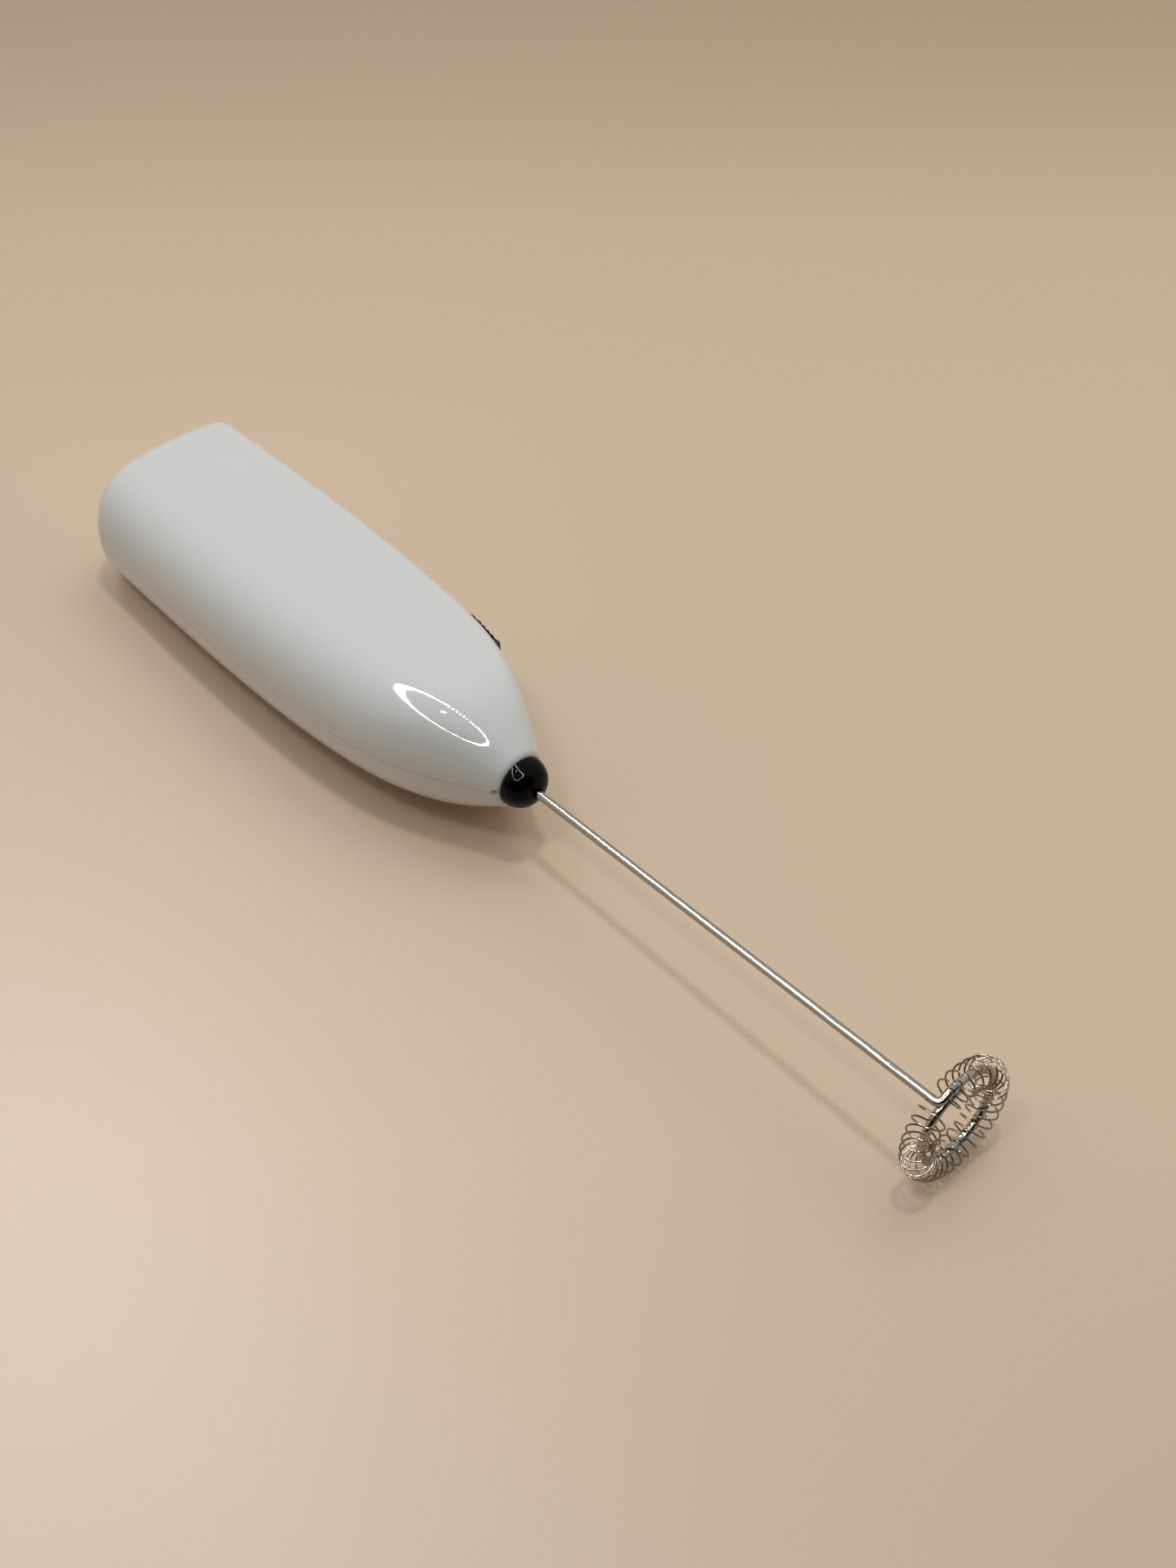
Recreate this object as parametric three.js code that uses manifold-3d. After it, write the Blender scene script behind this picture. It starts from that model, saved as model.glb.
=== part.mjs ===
// Battery hand frother: D-section moulded handle in two shells, slide switch,
// sliding battery cover, two cells, small DC motor, coupling, bent steel wire
// whisk with a coil spring threaded round its ring.
// Local design frame (mm): X runs from the tail (0) along the drive axis to the
// whisk, Y points out of the flat side that carries switch and battery cover,
// Z is the thickness direction. The drive axis is y = 0, z = 0.
import * as THREE from 'three';
import { mergeVertices } from 'three/addons/utils/BufferGeometryUtils.js';
import Module from 'manifold-3d';

const wasm = await Module();
wasm.setup();

// ---------------------------------------------------------------- dimensions
const L = 111.0;                 // shell length, tail to nose end
const STATION = [0, 0.12, 0.30, 0.50, 0.68, 0.82, 0.92, 1.0].map(f => f * L);
const FLAT_SIDE = [17.61, 17.67, 17.74, 17.04, 15.62, 13.15, 9.29, 5.03];   // +Y half width
const ROUND_SIDE = [15.68, 16.33, 17.24, 17.64, 16.83, 14.21, 9.75, 5.21];  // -Y half width
const HALF_THICK = [11.86, 11.85, 12.01, 12.36, 12.44, 12.35, 10.90, 5.31]; // half thickness
const CORNER_R = 2.5;            // long edges of the flat side
const NOSE_CORNER_R = 4.6;       // the same edges where the nose turns round
const SIDE_POWER = 2.34;         // superellipse power of the round side
const TAIL_R = 5.2;              // rounding of the tail end
const TAIL_CROWN = 3.2;          // how far the tail bows out in plan
const WALL = 1.6;
const SEAM = 0.1;                // half gap of the parting line, plane z = 0

const CELL_R = 7.1, CELL_LEN = 50.5;      // size AA cells
const CELL_A_Y = 7.6, CELL_B_Y = -6.8;     // cell axes, A next to the cover
const TAIL_PLATE_X = 3.3, FRONT_PLATE_X = 60.3, PLATE_T = 0.4;
const BULKHEAD_X = 61.0, BULKHEAD_T = 1.4;

const WINDOW_Z = 8.7, COVER_Z = 8.5, COVER_END = 59.6, WINDOW_END = 59.9;
const COVER_IN_Y = 15.75, RAIL_Z = 9.5, RAIL_Y0 = 14.7;
const CATCH_X0 = 6.4, CATCH_X1 = 15.1, CATCH_H0 = 0.95, CATCH_H1 = 1.8;

const CAN_R = 10.05, CAN_FLAT = 7.55, CAN_X0 = 67.7, CAN_X1 = 89.0, CAN_WALL = 0.8;
const SHAFT_R = 1.0, SHAFT_X0 = 63.5, SHAFT_X1 = 98.8;
const WIRE_R = 0.78;             // whisk wire
const CAP_TIP = 115.56;          // where the wire leaves the nose cap
const CAP_R = 4.9;
const RING_X = 207.84;           // plane of the whisk ring
const RING_CY = 4.59, RING_CZ = -8.284, RING_R = 8.98;
const COIL_R = 2.65, COIL_WIRE_R = 0.15, COIL_TURNS = 29;
const ELBOW_R = 1.0;              // bend from the shaft into the ring

const SW_X = 82.6;               // middle of the switch thumb piece
const SW_LEN = 10.2, SW_HALF_Z = 6.5, SW_TRAVEL = 3.5;

// rest position: tail edge and whisk ring both touch the table
const TILT = THREE.MathUtils.degToRad(2.33);

// ---------------------------------------------------------------- helpers
function spline(xs, ys) {                          // natural cubic spline
  const n = xs.length, h = [], al = [0], l = [1], mu = [0], z = [0], c = new Array(n).fill(0);
  for (let i = 0; i < n - 1; i++) h.push(xs[i + 1] - xs[i]);
  for (let i = 1; i < n - 1; i++) al.push(3 / h[i] * (ys[i + 1] - ys[i]) - 3 / h[i - 1] * (ys[i] - ys[i - 1]));
  for (let i = 1; i < n - 1; i++) {
    l.push(2 * (xs[i + 1] - xs[i - 1]) - h[i - 1] * mu[i - 1]);
    mu.push(h[i] / l[i]);
    z.push((al[i] - h[i - 1] * z[i - 1]) / l[i]);
  }
  const b = [], d = [];
  for (let j = n - 2; j >= 0; j--) {
    c[j] = (z[j] ?? 0) - (mu[j] ?? 0) * c[j + 1];
    b[j] = (ys[j + 1] - ys[j]) / h[j] - h[j] * (c[j + 1] + 2 * c[j]) / 3;
    d[j] = (c[j + 1] - c[j]) / (3 * h[j]);
  }
  return x => {
    let j = 0;
    while (j < n - 2 && x > xs[j + 1]) j++;
    const t = x - xs[j];
    return ys[j] + b[j] * t + c[j] * t * t + d[j] * t * t * t;
  };
}
const flatY = spline(STATION, FLAT_SIDE), roundY = spline(STATION, ROUND_SIDE), thick = spline(STATION, HALF_THICK);

function loft(rings, closed = false) {             // rings: arrays of [x, y, z], same count
  const n = rings[0].length, pos = [], idx = [];
  for (const r of rings) for (const p of r) pos.push(...p);
  const m = closed ? rings.length : rings.length - 1;
  for (let i = 0; i < m; i++) for (let j = 0; j < n; j++) {
    const a = i * n + j, b = i * n + (j + 1) % n, i2 = (i + 1) % rings.length;
    const c = i2 * n + (j + 1) % n, d = i2 * n + j;
    idx.push(a, b, c, a, c, d);
  }
  if (!closed) {
    for (const [ri, flip] of [[0, true], [rings.length - 1, false]]) {
      const r = rings[ri], ctr = [0, 0, 0];
      for (const p of r) for (let k = 0; k < 3; k++) ctr[k] += p[k] / n;
      const ci = pos.length / 3;
      pos.push(...ctr);
      for (let j = 0; j < n; j++) {
        const a = ri * n + j, b = ri * n + (j + 1) % n;
        flip ? idx.push(ci, b, a) : idx.push(ci, a, b);
      }
    }
  }
  const g = new THREE.BufferGeometry();
  g.setAttribute('position', new THREE.Float32BufferAttribute(pos, 3));
  g.setIndex(idx);
  let v = 0;                                       // signed volume decides the winding
  for (let i = 0; i < idx.length; i += 3) {
    const [a, b, c] = [idx[i] * 3, idx[i + 1] * 3, idx[i + 2] * 3];
    v += pos[a] * (pos[b + 1] * pos[c + 2] - pos[b + 2] * pos[c + 1])
      - pos[a + 1] * (pos[b] * pos[c + 2] - pos[b + 2] * pos[c])
      + pos[a + 2] * (pos[b] * pos[c + 1] - pos[b + 1] * pos[c]);
  }
  if (v < 0) { for (let i = 0; i < idx.length; i += 3) [idx[i + 1], idx[i + 2]] = [idx[i + 2], idx[i + 1]]; g.setIndex(idx); }
  return g;
}
function solid(geo) {
  let g = geo.clone();
  for (const k of Object.keys(g.attributes)) if (k !== 'position') g.deleteAttribute(k);
  g = mergeVertices(g, 1e-4);
  return new wasm.Manifold(new wasm.Mesh({
    numProp: 3, vertProperties: new Float32Array(g.attributes.position.array),
    triVerts: new Uint32Array(g.index.array),
  }));
}
function geometry(man) {
  const m = man.getMesh(), g = new THREE.BufferGeometry();
  const p = new Float32Array(m.numVert * 3);
  for (let i = 0; i < m.numVert; i++) for (let k = 0; k < 3; k++) p[i * 3 + k] = m.vertProperties[i * m.numProp + k];
  g.setAttribute('position', new THREE.BufferAttribute(p, 3));
  g.setIndex(new THREE.BufferAttribute(new Uint32Array(m.triVerts), 1));
  return g;
}
const box = (x0, x1, y0, y1, z0, z1) =>
  new THREE.BoxGeometry(x1 - x0, y1 - y0, z1 - z0).translate((x0 + x1) / 2, (y0 + y1) / 2, (z0 + z1) / 2);
const rod = (x0, x1, r, seg = 24, y = 0, z = 0, r1 = r) =>  // r at x0, r1 at x1
  new THREE.CylinderGeometry(r1, r, x1 - x0, seg, 1).rotateZ(-Math.PI / 2).translate((x0 + x1) / 2, y, z);
const lathe = (pts, seg, x0 = 0, y = 0, z = 0) =>           // pts: [radius, along X]
  new THREE.LatheGeometry(pts.map(([r, x]) => new THREE.Vector2(r, x)), seg).rotateZ(-Math.PI / 2).translate(x0, y, z);

function sweep(points, radius, sides, spin = 0) {  // round wire along a polyline, parallel transport
  const P = points.map(p => new THREE.Vector3(...p)), T = P.map((p, i) => {
    const a = P[Math.max(0, i - 1)], b = P[Math.min(P.length - 1, i + 1)];
    return b.clone().sub(a).normalize();
  });
  let N = Math.abs(T[0].z) < 0.9 ? new THREE.Vector3(0, 0, 1) : new THREE.Vector3(0, 1, 0);
  N.sub(T[0].clone().multiplyScalar(N.dot(T[0]))).normalize();
  const rings = [];
  P.forEach((p, i) => {
    N = N.clone().sub(T[i].clone().multiplyScalar(N.dot(T[i]))).normalize();
    const B = T[i].clone().cross(N), r = [];
    for (let k = 0; k < sides; k++) {
      const a = 2 * Math.PI * k / sides + spin;
      const q = p.clone().addScaledVector(N, radius * Math.cos(a)).addScaledVector(B, radius * Math.sin(a));
      r.push([q.x, q.y, q.z]);
    }
    rings.push(r);
  });
  return loft(rings);
}
function smoothPath(pts, steps) {
  const c = new THREE.CatmullRomCurve3(pts.map(p => new THREE.Vector3(...p)), false, 'centripetal');
  return c.getPoints(steps).map(p => [p.x, p.y, p.z]);
}

const root = new THREE.Group();
const assembly = new THREE.Group();
root.add(assembly);
function part(name, geo, color, roughness, metalness) {
  const mesh = new THREE.Mesh(geo, new THREE.MeshStandardMaterial({ color, roughness, metalness }));
  mesh.name = name;
  assembly.add(mesh);
  return mesh;
}
const WHITE = [0xe9ebe8, 0.18, 0], BLACK = [0x0d0d0e, 0.15, 0], STEEL = [0xb9b8b2, 0.2, 1], COPPER = [0xb8764a, 0.3, 1];
const NICKEL = [0xc4c2ba, 0.3, 1], NYLON = [0xe2ddcf, 0.5, 0];

// ---------------------------------------------------------------- handle section
const TOP_PTS = 17;
function section(X, inset) {
  const u = Math.min(1, Math.max(0, (X / L - 0.76) / 0.24)), s = u * u * (3 - 2 * u);
  const yf = flatY(X) - inset, yn = roundY(X) - inset, t = thick(X) - inset;
  let cf = CORNER_R + (NOSE_CORNER_R - CORNER_R) * s;
  cf = Math.max(0.5, Math.min(cf - 0.6 * inset, t * 0.98));
  const an = Math.max(1, Math.min((thick(X)) * 1.005, (flatY(X) + roundY(X)) * 0.6) - inset * 0.8);
  const top = [[yf, 0]];
  for (let i = 0; i <= 4; i++) {
    const a = Math.PI / 2 * i / 4;
    top.push([yf - cf + cf * Math.cos(a), t - cf + cf * Math.sin(a)]);
  }
  for (let i = 0; i <= 10; i++) {
    const a = Math.PI / 2 * (1 + i / 10), c = Math.abs(Math.cos(a)), q = Math.abs(Math.sin(a));
    top.push([-yn + an - an * Math.pow(c, 2 / SIDE_POWER), i === 10 ? 0 : t * Math.pow(q, 2 / SIDE_POWER)]);
  }
  return top;
}
function ringAt(X, inset, tailInset) {
  const top = section(X, inset + tailInset), all = [...top];
  for (let i = top.length - 2; i > 0; i--) all.push([top[i][0], -top[i][1]]);
  const w = (flatY(X) + roundY(X)) / 2, yc = (flatY(X) - roundY(X)) / 2;
  const k = TAIL_CROWN * Math.max(0, 1 - X / 20);
  return all.map(([y, z]) => [X + k * ((y - yc) / w) ** 2, y, z]);
}
function body(inset, xTail, xNose, tailR, nStations, noseR = 0) {
  const rings = [];
  for (let i = 0; i <= 5; i++) {
    const a = Math.PI / 2 * i / 5, dx = tailR * (1 - Math.cos(a));
    rings.push(ringAt(xTail + dx, inset, tailR - tailR * Math.sin(a)));
  }
  for (let i = 1; i <= nStations; i++) {
    const X = xTail + tailR + (xNose - noseR - xTail - tailR) * Math.pow(i / nStations, 0.92);
    rings.push(ringAt(X, inset, 0));
  }
  if (noseR > 0) for (let i = 1; i <= 2; i++) {
    const a = Math.PI / 2 * i / 2;
    rings.push(ringAt(xNose - noseR + noseR * Math.sin(a), inset, noseR * (1 - Math.cos(a))));
  }
  return solid(loft(rings));
}
const outer = body(0, 0, L, TAIL_R, 16, 0.5);
const cavity = body(WALL, 1.9, 103.6, TAIL_R - WALL, 13);

const roomy = body(WALL - 0.5, 1.9, 103.6, TAIL_R - WALL, 13);   // reaches 0.5 into the wall
function ribs() {
  let r = solid(box(BULKHEAD_X, BULKHEAD_X + BULKHEAD_T, -20, 20, -20, 20));   // cell bay bulkhead
  r = r.subtract(solid(rod(55, 70, 3.6, 16)));
  r = r.subtract(solid(box(55, 70, 4.6, 9.6, 5.6, 9.4))).subtract(solid(box(55, 70, -9.6, -4.6, -9.4, -5.6)));
  r = r.add(solid(box(71.0, 72.4, -8.6, 8.6, -20, 20))).add(solid(box(83.0, 84.4, -8.6, 8.6, -20, 20)));
  r = r.add(solid(box(74, 80, -9.2, -7.75, -20, 20)).subtract(solid(box(73, 81, -10, 0, -7, 7))));
  r = r.subtract(solid(rod(66, 92, CAN_R + 0.12, 32)).intersect(solid(box(50, 100, -CAN_FLAT - 0.12, CAN_FLAT + 0.12, -20, 20))));
  return r.intersect(roomy);
}
// ledges that carry the cover's rails from inside
const ledge = z => solid(box(7, 60.5, 12.9, 14.45, z > 0 ? 9.3 : -11.6, z > 0 ? 11.6 : -9.3)).intersect(roomy);

// switch frame: u along the local surface towards the nose, v outwards
const swY = flatY(SW_X), swSlope = (flatY(SW_X + 4.5) - flatY(SW_X - 4.5)) / 9, swAng = Math.atan(swSlope);
const inSwitch = geo => geo.clone().rotateZ(swAng).translate(SW_X, swY, 0);
const swBox = (u0, u1, v0, v1, z0, z1) => inSwitch(box(u0, u1, v0, v1, z0, z1));

let hollow = outer.subtract(cavity).add(ribs()).add(ledge(1)).add(ledge(-1));
hollow = hollow.subtract(solid(box(-6, WINDOW_END, 15.5, 30, -WINDOW_Z, WINDOW_Z)));        // cover window
hollow = hollow.subtract(solid(box(-6, 7.2, RAIL_Y0 - 0.2, 16.0, -RAIL_Z - 0.2, RAIL_Z + 0.2))); // rails' way out
hollow = hollow.subtract(solid(box(-6, WINDOW_END, RAIL_Y0 - 0.2, 15.95, -RAIL_Z - 0.2, RAIL_Z + 0.2)));
hollow = hollow.subtract(solid(swBox(-SW_LEN / 2 - 0.4, SW_LEN / 2 + SW_TRAVEL + 0.4, -0.55, 6, -SW_HALF_Z - 0.3, SW_HALF_Z + 0.3))); // recess
hollow = hollow.subtract(solid(swBox(-2.9, 2.9 + SW_TRAVEL, -4.5, 3, -2.2, 2.2)));          // slot
hollow = hollow.subtract(solid(rod(100, L + 5, 3.55, 24)));                                 // bore for the cap's spigot
// small gate notch on the round side's parting line, next to the cap
hollow = hollow.subtract(solid(new THREE.SphereGeometry(0.8, 10, 8).translate(110.5, -roundY(110.5) - 0.1, 0.3)));

part('upper_shell', geometry(hollow.intersect(solid(box(-10, 130, -40, 40, SEAM, 40)))), ...WHITE);
part('lower_shell', geometry(hollow.intersect(solid(box(-10, 130, -40, 40, -40, -SEAM)))), ...WHITE);

// ---------------------------------------------------------------- battery cover
{
  let c = outer.intersect(solid(box(-6, COVER_END, COVER_IN_Y, 30, -COVER_Z, COVER_Z)));
  for (const [z0, z1] of [[-RAIL_Z, -6.4], [6.4, RAIL_Z]])
    c = c.add(outer.intersect(solid(box(-6, COVER_END - 0.4, RAIL_Y0, 15.8, z0, z1))));
  const y0 = flatY(CATCH_X0) - 0.6, y1 = flatY(CATCH_X1) - 0.6, zz = COVER_Z - 0.25;
  const wedge = [zz, -zz].map(z => [
    [CATCH_X0, y0, z], [CATCH_X1, y1, z], [CATCH_X1, y1 + 0.6 + CATCH_H1 - 0.3, z],
    [CATCH_X1 - 0.4, y1 + 0.6 + CATCH_H1, z], [CATCH_X0, y0 + 0.6 + CATCH_H0, z]]);
  c = c.add(solid(loft(wedge)));
  for (let i = 0; i < 4; i++) {                    // grip grooves across the wedge
    const x = CATCH_X1 - 2.0 - 2.1 * i, f = (x - CATCH_X0) / (CATCH_X1 - CATCH_X0);
    const y = flatY(x) + CATCH_H0 + (CATCH_H1 - CATCH_H0) * f;
    c = c.subtract(solid(box(x - 0.35, x + 0.35, y - 0.35, y + 2, -6.2, 6.2)));
  }
  part('battery_cover', geometry(c), ...WHITE);
}

// ---------------------------------------------------------------- nose cap and bush
{
  const pts = [[0, 104.7], [3.35, 104.7], [3.35, L + 0.15], [CAP_R, L + 0.15]];
  const x0 = L + 0.15, h = CAP_TIP - x0;
  for (let i = 1; i <= 7; i++) {
    const a = Math.PI / 2 * i / 8;
    pts.push([CAP_R * Math.pow(Math.cos(a), 0.75), x0 + h * Math.pow(Math.sin(a), 1.0)]);
  }
  pts.push([1.5, CAP_TIP], [0, CAP_TIP]);
  let cap = solid(lathe(pts, 28));
  cap = cap.subtract(solid(rod(100, 110.2, 2.45, 20))).subtract(solid(rod(100, 120, 1.05, 16)));
  part('nose_cap', geometry(cap), ...BLACK);
  const bush = solid(rod(104.9, 109.9, 2.35, 20)).subtract(solid(rod(100, 120, WIRE_R + 0.07, 20)));
  part('front_bush', geometry(bush), 0xc9a35a, 0.35, 1);
}

// ---------------------------------------------------------------- cells and contacts
function cell(name, y, x0, dir) {
  const R = CELL_R, n = CELL_LEN;
  const g = lathe([[0, 0], [5.6, 0], [6.9, 0.25], [R, 0.7], [R, n - 1.9], [6.7, n - 1.4], [3.0, n - 1.15], [2.7, n - 0.1], [2.5, n], [0, n]], 24);
  if (dir < 0) g.rotateZ(Math.PI);
  g.translate(dir > 0 ? x0 : x0 + n, y, 0);
  part(name, g, 0x3a3f46, 0.35, 0.4);
}
const aX0 = FRONT_PLATE_X - 0.3 - CELL_LEN, bX0 = TAIL_PLATE_X + PLATE_T + 0.3;
cell('battery_cell_cover_side', CELL_A_Y, aX0, 1);
cell('battery_cell_round_side', CELL_B_Y, bX0, -1);

{
  let p = solid(box(TAIL_PLATE_X, TAIL_PLATE_X + PLATE_T, -9.6, 12.2, -4.6, 4.6));
  part('tail_contact_plate', geometry(p), ...NICKEL);
  let f = solid(box(FRONT_PLATE_X, FRONT_PLATE_X + PLATE_T, CELL_A_Y - 5.2, CELL_A_Y + 5.2, -4.6, 4.6))
    .add(solid(box(FRONT_PLATE_X, FRONT_PLATE_X + PLATE_T, 5.8, 8.4, 4, 8.9)));
  part('front_contact_plate_positive', geometry(f), ...NICKEL);
  f = solid(box(FRONT_PLATE_X, FRONT_PLATE_X + PLATE_T, CELL_B_Y - 5.2, CELL_B_Y + 5.2, -4.6, 4.6))
    .add(solid(box(FRONT_PLATE_X, FRONT_PLATE_X + PLATE_T, -8.4, -5.8, -8.9, -4)));
  part('front_contact_plate_negative', geometry(f), ...NICKEL);
}
function contactSpring(name, x0, x1, y) {          // conical, wide end at x0
  const pts = [], turns = 4.5, n = 46;
  for (let i = 0; i <= n; i++) {
    const t = i / n, a = 2 * Math.PI * turns * t, r = 4.2 - 2.0 * t;
    const e = Math.min(1, Math.max(0, (t - 0.1) / 0.8));
    pts.push([x0 + (x1 - x0) * e, y + r * Math.cos(a), r * Math.sin(a)]);
  }
  part(name, sweep(pts, 0.3, 5), ...NICKEL);
}
contactSpring('tail_contact_spring', TAIL_PLATE_X + PLATE_T + 0.5, aX0 - 0.5, CELL_A_Y);
contactSpring('front_contact_spring', FRONT_PLATE_X - 0.5, bX0 + CELL_LEN + 0.5, CELL_B_Y);

// ---------------------------------------------------------------- motor
{
  const flats = solid(box(50, 120, -CAN_FLAT, CAN_FLAT, -20, 20));
  const inFlats = solid(box(50, 120, -CAN_FLAT + CAN_WALL, CAN_FLAT - CAN_WALL, -20, 20));
  let can = solid(rod(CAN_X0, CAN_X1, CAN_R, 32)).intersect(flats);
  can = can.subtract(solid(rod(CAN_X0 - 1, CAN_X1 - CAN_WALL, CAN_R - CAN_WALL, 32)).intersect(inFlats));
  can = can.add(solid(rod(CAN_X1 - 0.4, CAN_X1 + 1.5, 3.0, 20)));
  can = can.subtract(solid(rod(80, 100, SHAFT_R + 0.07, 20)));
  part('motor_can', geometry(can), 0xa9abad, 0.3, 1);

  let cap = solid(rod(64.2, CAN_X0 - 0.2, CAN_R - 0.15, 32)).intersect(flats);
  cap = cap.add(solid(rod(63.3, 64.4, 2.9, 20)));
  cap = cap.subtract(solid(rod(65.4, 70, 6.2, 20))).subtract(solid(rod(64.0, 70, SHAFT_R + 0.07, 20)));
  part('motor_end_cap', geometry(cap), ...NYLON);

  for (const [name, s] of [['motor_magnet_upper', 1], ['motor_magnet_lower', -1]]) {
    const m = solid(rod(71.5, 86.5, 9.0, 32)).subtract(solid(rod(70, 88, 7.0, 32)))
      .intersect(solid(box(70, 88, -6.3, 6.3, s > 0 ? 3 : -12, s > 0 ? 12 : -3)));
    part(name, geometry(m), 0x4a4644, 0.6, 0.2);
  }
  for (const [name, z] of [['motor_terminal_positive', 6.0], ['motor_terminal_negative', -6.0]]) {
    const t = solid(box(65.4, 65.8, -11.6, -CAN_FLAT - 0.25, z - 1.2, z + 1.2))
      .subtract(solid(new THREE.CylinderGeometry(0.45, 0.45, 4, 10).rotateZ(Math.PI / 2).translate(65.6, -10.7, z)));
    part(name, geometry(t), ...COPPER);
  }
  // turning parts of the motor
  part('motor_shaft', rod(SHAFT_X0 + 0.65, SHAFT_X1, SHAFT_R, 20), ...STEEL);
  let arm = solid(rod(72.0, 86.0, 6.35, 30));
  for (let i = 0; i < 3; i++) {
    const slot = box(71, 87, -0.8, 0.8, 2.9, 7).rotateX(i * 2 * Math.PI / 3);
    const groove = box(71, 87, -2.6, 2.6, 2.6, 5.0).rotateX(i * 2 * Math.PI / 3);
    arm = arm.subtract(solid(slot)).subtract(solid(groove));
  }
  arm = arm.subtract(solid(rod(70, 88, SHAFT_R + 0.05, 20)));
  part('motor_armature', geometry(arm), 0x8d5a3a, 0.45, 0.7);
  part('motor_commutator', geometry(solid(rod(66.2, 71.4, 2.3, 18)).subtract(solid(rod(60, 75, SHAFT_R + 0.05, 20)))), ...COPPER);
}
part('coupling_sleeve', geometry(
  solid(lathe([[0, 93.2], [2.0, 93.2], [2.3, 93.6], [2.3, 103.0], [2.0, 103.4], [0, 103.4]], 20))
    .subtract(solid(rod(90, 99.0, SHAFT_R + 0.05, 20)))
    .subtract(solid(rod(98.9, 110, WIRE_R + 0.05, 16)))), 0x1a1a1b, 0.5, 0);

// ---------------------------------------------------------------- whisk
{
  const cy = RING_CY, cz = RING_CZ, a0 = Math.atan2(-cz, -cy);   // direction ring centre -> drive axis
  const start = Math.hypot(cy, cz);                              // drive axis to ring centre
  const bend = ELBOW_R, pts = [];
  pts.push([99.3, 0, 0], [102, 0, 0], [112, 0, 0], [160, 0, 0], [RING_X - bend - 1, 0, 0]);
  // elbow from +X into the ring's tangent (clockwise seen from the whisk end)
  const ty = Math.sin(a0), tz = -Math.cos(a0);
  for (let i = 0; i <= 5; i++) {
    const b = Math.PI / 2 * i / 5;
    const s = bend * (1 - Math.cos(b));
    pts.push([RING_X - bend + bend * Math.sin(b), ty * s, tz * s]);
  }
  // ring: the radius steps in by one wire width, so the free end lies inside the first stretch
  const sweepA = 2 * Math.PI + 0.45, n = 46, aStart = a0 - bend / start;
  for (let i = 1; i <= n; i++) {
    const w = 0.1 + (sweepA - 0.1) * i / n, k = Math.min(1, Math.max(0, (w - 0.7) / (2 * Math.PI - 1.1)));
    const r = start + 0.08 - 1.78 * k * k * (3 - 2 * k);
    pts.push([RING_X, cy + r * Math.cos(aStart - w), cz + r * Math.sin(aStart - w)]);
  }
  part('whisk_wire', sweep(pts, WIRE_R, 10), ...STEEL);

  const gap = 0.15, c = [], N = COIL_TURNS * 11;
  for (let i = 0; i <= N; i++) {
    const t = i / N, a = a0 - gap - (2 * Math.PI - 2 * gap) * t, h = 2 * Math.PI * COIL_TURNS * t + 0.6;
    const r = RING_R + COIL_R * Math.cos(h);
    c.push([RING_X + COIL_R * Math.sin(h), cy + r * Math.cos(a), cz + r * Math.sin(a)]);
  }
  part('whisk_spring', sweep(c, COIL_WIRE_R * 1.12, 4), ...STEEL);
}

// ---------------------------------------------------------------- slide switch
{
  const h = SW_LEN / 2;
  let b = solid(swBox(-h, h, -0.3, 1.5, -SW_HALF_Z, SW_HALF_Z));
  const prof = [[-h, 1.3], [-h, 2.2], [-h + 0.4, 2.6], [-h + 1.5, 2.7], [-h + 1.8, 2.2], [-h + 2.1, 2.7]];
  for (let i = 0; i < 4; i++) {                    // serrated grip
    const u = -h + 2.5 + i * 1.45, v = 2.7 - 0.05 * i;
    prof.push([u, v], [u + 0.8, v + 0.06], [u + 1.1, v - 0.35]);
  }
  prof.push([h - 1.55, 2.45], [h - 0.95, 2.62], [h - 0.45, 2.55], [h - 0.1, 1.9], [h, 1.3]);
  const grip = new THREE.ExtrudeGeometry(new THREE.Shape(prof.map(([u, v]) => new THREE.Vector2(u, v))),
    { depth: 2 * SW_HALF_Z - 0.4, bevelEnabled: false }).translate(0, 0, -SW_HALF_Z + 0.2);
  b = b.add(solid(inSwitch(grip)));
  b = b.add(solid(swBox(-2.6, 2.6, -3.0, 0, -1.95, 1.95)));
  b = b.add(solid(swBox(-4.6, 4.6, -3.6, -2.5, -4.2, 4.2)));
  part('switch_button', geometry(b), ...BLACK);
  // bridge strip carried by the button, fixed blades on the shell side
  let m = solid(swBox(-4.2, 4.2, -4.15, -3.85, -1.6, 1.6));
  part('switch_moving_contact', geometry(m), ...COPPER);
  part('switch_fixed_contact_rear', geometry(solid(swBox(-9.4, -1.6, -4.75, -4.45, -1.6, 1.6)).add(solid(swBox(-9.4, -9.1, -4.75, -3.0, -1.6, 1.6)))), ...COPPER);
  part('switch_fixed_contact_front', geometry(solid(swBox(5.0, 8.6, -4.75, -4.45, -1.6, 1.6)).add(solid(swBox(8.3, 8.6, -4.75, -3.4, -1.6, 1.6)))), ...COPPER);
}

// ---------------------------------------------------------------- leads
part('lead_cell_to_motor', sweep(smoothPath([
  [61.1, 7.1, 7.5], [62.3, 6.9, 7.5], [63.0, 4.8, 7.5], [63.25, 0, 7.6], [63.25, -5, 7.5], [63.5, -8.6, 7.0], [64.4, -10.2, 6.4], [64.9, -10.6, 6.1]], 20), 0.55, 8), 0xa3231c, 0.5, 0);
part('lead_cell_to_switch', sweep(smoothPath([
  [61.1, -7.1, -7.5], [62.3, -6.9, -7.5], [63.0, -4.8, -7.5], [63.25, 0, -7.6], [63.25, 5, -7.5], [63.9, 8.6, -7.2], [64.8, 10.0, -6.8], [67.6, 10.9, -5.6], [70.2, 11.5, -3.6], [72.2, 11.6, -2.5]], 26), 0.55, 8), 0x17171a, 0.5, 0);
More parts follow.
